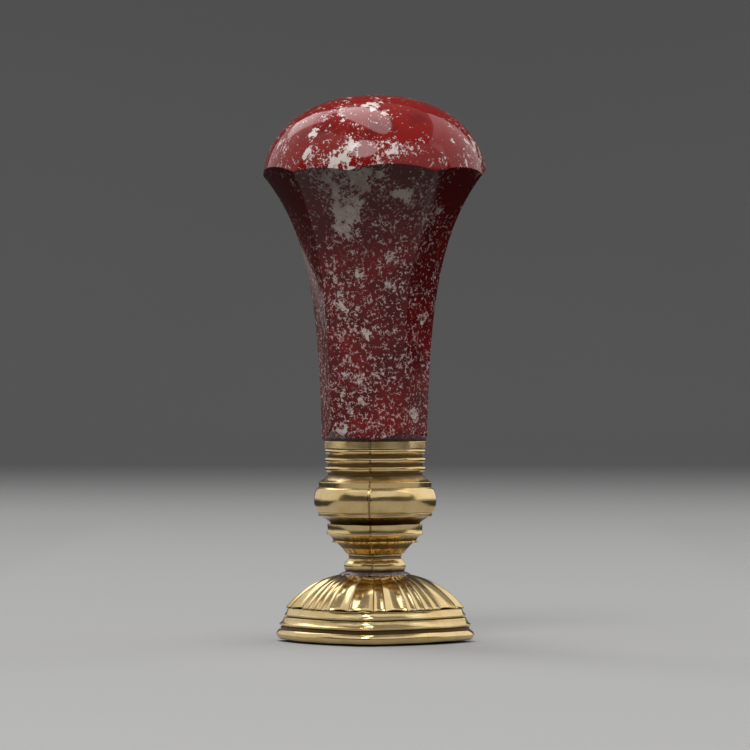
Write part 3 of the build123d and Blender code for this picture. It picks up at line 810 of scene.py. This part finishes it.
def cover_rows(low, high):
    """Rows of the cover's grid: corner radius, height, and how far the row is fluted, arched and round."""
    seat = [(12.60, low, 0, 0, 0), (COVER_SEAT_R, low, 0, 0, 0), (13.00, low + 0.05, 0, 0.6, 0)]
    edge = [(COVER_R - 0.10, low + 0.02, 1, 1, 0), (COVER_R, low + 0.10, 1, 0.95, 0)]
    dome = [(*point, 1, ARCH_FADE ** (i + 1), 0) for i, point in enumerate(cover_arc(low, high))]
    under = high - COVER_WALL
    top = [(5.35, high, 0.6, 0, 0.3), (COVER_HOLE_R, high, 0, 0, 1), (COVER_HOLE_R, under, 0, 0, 1)]
    inside = [(*point, 0, 0, 0) for point in bow((5.40, under), (12.50, low), 1.5)]
    return np.array(seat + edge + dome + top + inside, float)


def fluted_cover():
    """Domed cover cut by hollow flutes, whose lower edge arches up in each flute.

    Between two ridges the plan is the chord from ridge to ridge, sunk by a parabola as deep as the chord
    times FLUTE_DEPTH_RATIO; the ridges lie on a bowed square that shrinks up a circular arc. Painted shade
    lies beside the ridges and towards the top.
    """
    low, high = span("fluted_cover")[0], span("neck_washer")[0]
    ridges = flute_ridges()
    steps = 14
    even = np.arange(steps) / steps
    share = 0.55 * (0.5 - 0.5 * np.cos(np.pi * even)) + 0.45 * even
    turns = (ridges[:-1, None] + np.diff(ridges)[:, None] * share).ravel()
    start, end = np.repeat(ridges[:-1], steps), np.repeat(ridges[1:], steps)
    across = np.tile(share, len(ridges) - 1)
    sunk = 4 * across * (1 - across)

    corner, height, fluted, arch, roundness = cover_rows(low, high).T[..., None]
    back = BASE_BACK * corner / FOOT_R
    square, at_start, at_end = (
        bowed_radius(corner, turn, back, SQUARE, COVER_EASE) for turn in (turns, start, end)
    )
    chord_r = at_start * at_end * np.sin(end - start)
    chord_r = chord_r / (at_start * np.sin(turns - start) + at_end * np.sin(end - turns))
    depth = (at_start + at_end) * np.sin((end - start) / 2) * FLUTE_DEPTH_RATIO
    radius = square + (chord_r - depth * sunk - square) * fluted
    radius = radius + (corner - radius) * roundness
    lift = FLUTE_ARCH * arch * sunk * (end - start) / math.radians(WIDE_FLUTE)

    # Painted shade beside the ridges and towards the top of the cover
    ridge = np.clip(1 - np.minimum(across, 1 - across) * (end - start) / math.radians(RIDGE_TURN), 0, 1)
    climb = np.clip((height - TOP_PAINTED_SHADE_FROM) / TOP_PAINTED_SHADE_RISE, 0, 1)
    grime = np.clip(RIDGE_PAINTED_SHADE * ridge * fluted + TOP_PAINTED_SHADE * climb, 0, 1)
    skin("fluted_cover", hand_made(around(radius, turns, height + lift)), True, GOLD, "gold", grime=grime)


# Stone handle

FACET_STEPS = 48
FACET = np.repeat(np.arange(FACETS), FACET_STEPS)
ACROSS = np.tile(0.5 - 0.5 * np.cos(np.pi * np.arange(FACET_STEPS) / FACET_STEPS), FACETS)


def horn(height):
    """Turn and radius of the eight-sided horn at a height for each column.

    The arrises twist a little from stem to rim. A facet is the chord between its arrises, crowned by a
    parabola, and eased into the nearer next facet.
    """
    corner = arris_radius(height)
    swell = (corner - STEM_R) / FLARE_R
    rim, stem = np.array(ARRISES_AT_RIM), np.array(ARRISES_AT_STEM)

    def arris(index):
        lap, side = np.divmod(index, FACETS)
        turn = stem[side] + (rim - stem)[side] * np.clip(swell, 0, 1) + 360 * lap
        return np.radians(turn + EYE_TURN - 90)

    def facet(index, turn):
        start, end = arris(index), arris(index + 1)
        half, middle = (end - start) / 2, (end + start) / 2
        crown = FACET_CROWN * (corner / (STEM_R + FLARE_R) * half / (np.pi / FACETS)) ** 2
        off = turn - middle
        return corner * np.cos(half) / np.cos(off) + crown * (1 - (off / half) ** 2)

    start, end = arris(FACET), arris(FACET + 1)
    turn = start + (end - start) * ACROSS
    beside = np.where(ACROSS < 0.5, FACET - 1, FACET + 1)
    return turn, ease_min(facet(FACET, turn), facet(beside, turn), ARRIS_EASE)


def rim_height():
    """Height where each column of the horn meets the dome, by halving a bracket forty times."""
    low = np.full(len(FACET), DOME_Z - 1.0)
    high = np.full(len(FACET), DOME_Z + 5.0)
    for _ in range(40):
        middle = (low + high) / 2
        inside = horn(middle)[1] < dome_radius(middle)
        low = np.where(inside, middle, low)
        high = np.where(inside, high, middle)
    return low


def stone_handle():
    """Handle from its bore and tenon out to the bevelled foot, up the facets to the rim and over the dome.

    The radius is the smallest of the horn's, the dome's and a bevel's that grows with the height from the
    collar's plan, each eased into the next.
    """
    tenon_foot, top = span("stone_handle")
    foot = span("reeded_collar")[1]
    meet = rim_height()
    bevel = foot + np.array(BEVEL_RISES)[:, None]
    climb = np.linspace(0, 1, 92)[1:, None]
    facets = bevel[-1] + (meet - bevel[-1]) * (1 - (1 - climb) ** 2)
    rise = np.linspace(0, 1, 62)[1:-1, None]
    dome = meet + (top - meet) * np.sin(np.pi / 2 * rise ** 1.7)
    height = np.vstack([bevel + 0 * meet, facets, dome])
    turn, radius = horn(height)
    radius = ease_min(radius, dome_radius(height), RIM_EASE)
    bevelled = bowed_radius(FOOT_R_AT_COLLAR + height - foot, turn, MOUNT_BACK, SQUARE, MOUNT_EASE)
    radius = ease_min(radius, bevelled, BEVEL_EASE)

    bore_top = foot + BORE_HEIGHT
    inner_r = np.array([BORE_TIP_R, BORE_R, BORE_R, TENON_R, TENON_R])[:, None] + 0 * meet
    inner_z = np.array([bore_top, bore_top, tenon_foot, tenon_foot, foot])[:, None] + 0 * meet
    turn = np.vstack([turn[:1]] * len(inner_r) + [turn])
    radius, height = np.vstack([inner_r, radius]), np.vstack([inner_z, height])
    below = len(height) - len(dome)
    crown = np.clip(np.arange(len(height)) - below + 1.5, 0, 1)[:, None]
    skin("stone_handle", around(radius, turn, height), False, JASPER, "jasper", crown=crown)


# Seal stone

def engraving(radius, turns):
    """Depth of the engraved face.

    Petals are hollows as deep as the square root of how far inside the petal's leaf-shaped edge a point
    lies, with a raised vein; the eye and the round groove are cut as half-ellipses.
    """
    half_turn = math.pi / PETALS
    petal_turn = (turns + half_turn) % (2 * half_turn) - half_turn
    along, aside = radius * np.cos(petal_turn), radius * np.sin(petal_turn)
    leaf = PETAL_HALF_WIDTH * np.clip(1 - ((along - PETAL_MIDDLE) / PETAL_HALF_LENGTH) ** 2, 0, None)
    petal = np.sqrt(np.clip(leaf - np.abs(aside), 0, None) / PETAL_HALF_WIDTH)
    vein = VEIN_SHARE * np.exp(-(aside / VEIN_WIDTH) ** 2) * (leaf > 0.1)
    eye = np.sqrt(np.clip(1 - (radius / ROSETTE_EYE_R) ** 2, 0, None))
    groove = np.sqrt(np.clip(1 - ((radius - GROOVE_R) / GROOVE_HALF_WIDTH) ** 2, 0, None))
    return PETAL_DEPTH * petal * (1 - vein) + ROSETTE_EYE_DEPTH * eye + GROOVE_DEPTH * groove


def seal_stone():
    """Seal stone: its engraved face from the middle out, a bevelled edge, its girdle, and its flat back."""
    low, high = span("seal_stone")
    turns = turns_round(SQUARE, 44, 1.2)
    share = np.linspace(0, 1, 120)[1:, None]
    face_r = share * bowed_radius(np.array(SEAL_R), turns, BASE_BACK, SQUARE, SEAL_EASE)
    depth = engraving(face_r, turns)

    bevel_low, bevel_top = low + 0.30, low + 0.85
    edge = [(SEAL_R, bevel_low), (GIRDLE_R, bevel_top), (GIRDLE_R, high)]
    corner, edge_z = np.array(edge).T[..., None]
    side_r = bowed_radius(corner, turns, BASE_BACK, SQUARE, SEAL_EASE)
    back_r = side_r[-1] * np.linspace(0.9, 0.1, 5)[:, None]
    radius = np.vstack([face_r, side_r, back_r])
    height = np.vstack([low + depth, edge_z + 0 * turns, high + 0 * back_r])
    engraved = np.zeros(radius.shape)
    engraved[:len(depth)] = np.clip(depth / MATT_DEPTH, 0, 1)
    skin("seal_stone", around(radius, turns, height), False, CARNELIAN, "carnelian", engraved=engraved)


# The seal's pieces

for node, ring in MOUNT_RINGS.items():
    finish, slot = (GREY_METAL, "grey_metal") if node == "neck_washer" else (GOLD, "gold")
    moulded_ring(node, ring, MOUNT_TURNS, MOUNT_BACK, MOUNT_EASE, SEAM_PAINTED_SHADE, finish, slot)
for node, ring in BASE_RINGS.items():
    moulded_ring(node, ring, BASE_TURNS, BASE_BACK, PLINTH_EASE, 0, GOLD, "gold")
fluted_cover()
stone_handle()
seal_stone()

INNER_FINISHES = {
    "handle_cement": CEMENT,
    "seal_cement": CEMENT,
    "tie_rod": STEEL,
    "collar_plug": PLAIN_BRASS,
    "rod_washer": PLAIN_BRASS,
    "rod_nut": PLAIN_BRASS,
    "back_plate": PLAIN_BRASS,
}
for node, finish in INNER_FINISHES.items():
    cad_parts[node].data.materials[0] = finish


# Stage, in metres

FLOOR_R, COVE_R, WALL_H = 1.6, 0.7, 2.4
FLOOR_COLOUR, FLOOR_UNSEEN = (0.42, 0.417, 0.413), 0.18
WORLD_COLOUR = (0.28, 0.28, 0.285)
CARD_COLOUR = (0.02, 0.02, 0.02)
EYE_CARD_TURN, EYE_CARD_DISTANCE, EYE_CARD_WIDTH, EYE_CARD_HEIGHT = -10, 1.1, 1.5, 1.0
SIDE_CARD_GAP, SIDE_CARD_WIDTH = 0.078, 0.60
SIDE_CARD_BACK, SIDE_CARD_FRONT = 0.60, -0.03

# Soft lamps: turn to the right of the eye, rise, distance, width, height, brightness, shape
LAMPS = {
    "left_softbox": (-119, 24, 0.95, 1.12, 0.90, 0.68, "RECTANGLE"),
    "right_softbox": (115, 26, 0.95, 1.05, 0.95, 0.95, "RECTANGLE"),
    "left_fill": (-60, 40, 1.0, 0.80, 0.75, 0.64, "RECTANGLE"),
    "right_fill": (46, 32, 1.0, 1.35, 0.60, 0.75, "RECTANGLE"),
    "front_softbox": (-15, 45, 1.0, 0.47, 0.47, 7.0, "ELLIPSE"),
    "top_softbox": (-160, 82, 1.05, 0.38, 1.20, 4.0, "ELLIPSE"),
    "back_left_softbox": (-144, 42, 1.05, 0.34, 0.46, 1.9, "RECTANGLE"),
}


def softbox(name, turn, rise, distance, width, height, brightness, shape):
    """Area lamp that faces the seal; its power gives a plain card of the same size this brightness."""
    lamp = bpy.data.lights.new(name, "AREA")
    lamp.shape = shape
    lamp.size, lamp.size_y = width, height
    area = width * height * (1 if shape == "RECTANGLE" else math.pi / 4)
    lamp.energy = brightness * math.pi * area
    box = bpy.data.objects.new(name, lamp)
    aim = Vector((0, 0, AIM_HEIGHT * MM))
    direction = facing(turn, rise)
    box.location = aim + direction * distance
    box.rotation_euler = direction.to_track_quat("Z", "Y").to_euler()
    bpy.context.scene.collection.objects.link(box)


def plain_matt(name, colour, unseen):
    """Plain matt paint with the faintest mottling; light that it passes on to matt surfaces is dimmed."""
    f = Finish(name)
    mottle = f.noise(f.place(), 180.0, 3.0)
    shade = f.mix(colour, tuple(0.97 * value for value in colour), mottle)
    eye = f.node("ShaderNodeLightPath", {}, {}, "Is Camera Ray")
    gloss = f.node("ShaderNodeLightPath", {}, {}, "Is Glossy Ray")
    glass = f.node("ShaderNodeLightPath", {}, {}, "Is Transmission Ray")
    seen = f.math("MAXIMUM", f.math("MAXIMUM", eye, gloss), glass)
    shade = f.mix(tuple(unseen * value for value in colour), shade, seen)
    return f.surface(Base_Color=shade, Roughness=0.9, Specular_IOR_Level=0.1)


def floor():
    """Pale floor that rises all round into a wall by a quarter round, turned about the seal's axis."""
    turn = np.linspace(0, 2 * np.pi, 128, endpoint=False)
    bend = np.linspace(0, np.pi / 2, 13)
    radius = np.concatenate([[0.02, FLOOR_R / 4], FLOOR_R + COVE_R * np.sin(bend), [FLOOR_R + COVE_R]])
    height = np.concatenate([[0, 0], COVE_R * (1 - np.cos(bend)), [WALL_H]])
    places = around(radius[:, None], turn, height[:, None])
    index = np.arange(places.shape[0] * len(turn)).reshape(-1, len(turn))
    beside = np.roll(index, -1, axis=1)
    faces = np.stack([index[:-1], index[1:], beside[1:], beside[:-1]], axis=-1).reshape(-1, 4).tolist()
    mesh = bpy.data.meshes.new("floor")
    mesh.from_pydata(places.reshape(-1, 3).tolist(), [], faces + [index[0].tolist()])
    mesh.shade_smooth()
    mesh.materials.append(plain_matt("pale_floor", FLOOR_COLOUR, FLOOR_UNSEEN))
    made = bpy.data.objects.new("floor", mesh)
    bpy.context.scene.collection.objects.link(made)


def dark_card(name, paper, corner, along, up):
    """Dark card out of every picture, spread from a corner by two sides, that polished surfaces reflect."""
    mesh = bpy.data.meshes.new(name)
    mesh.from_pydata([corner, corner + along, corner + along + up, corner + up], [], [(0, 1, 2, 3)])
    mesh.materials.append(paper)
    card = bpy.data.objects.new(name, mesh)
    card.visible_camera = False
    card.visible_shadow = False
    card.visible_diffuse = False
    bpy.context.scene.collection.objects.link(card)


def dark_cards():
    """One card stands behind the eye, and one lies on the floor at each side, just outside the picture."""
    paper = plain_matt("dark_paper", CARD_COLOUR, 1.0)
    behind_eye = facing(EYE_CARD_TURN, 0)
    across = Vector((-behind_eye.y, behind_eye.x, 0)) * EYE_CARD_WIDTH
    corner = behind_eye * EYE_CARD_DISTANCE - across / 2
    dark_card("eye_card", paper, corner, across, Vector((0, 0, EYE_CARD_HEIGHT)))
    front, right = facing(0, 0), facing(90, 0)
    for name, side in (("left_floor_card", -right), ("right_floor_card", right)):
        corner = side * SIDE_CARD_GAP - front * SIDE_CARD_BACK + Vector((0, 0, MM))
        dark_card(name, paper, corner, side * SIDE_CARD_WIDTH, front * (SIDE_CARD_BACK + SIDE_CARD_FRONT))


def stage():
    """Floor, soft lamps, dark cards and a plain grey world."""
    floor()
    for name, lamp in LAMPS.items():
        softbox(name, *lamp)
    dark_cards()
    world = bpy.data.worlds.new("grey_studio")
    world.use_nodes = True
    background = world.node_tree.nodes["Background"]
    background.inputs["Color"].default_value = (*WORLD_COLOUR, 1.0)
    bpy.context.scene.world = world
    bpy.context.scene.view_settings.view_transform = "Standard"


def camera():
    """Camera at the photograph's view."""
    data = bpy.data.cameras.new("eye")
    data.lens, data.sensor_width = LENS, SENSOR
    data.clip_start, data.clip_end = 0.01, 50.0
    eye = bpy.data.objects.new("eye", data)
    place = facing(0, 0) * EYE_DISTANCE * MM + Vector((0, 0, EYE_HEIGHT * MM))
    aim = Vector((0, 0, AIM_HEIGHT * MM))
    eye.location = place
    eye.rotation_euler = (place - aim).to_track_quat("Z", "Y").to_euler()
    bpy.context.scene.collection.objects.link(eye)
    bpy.context.scene.camera = eye


stage()
camera()
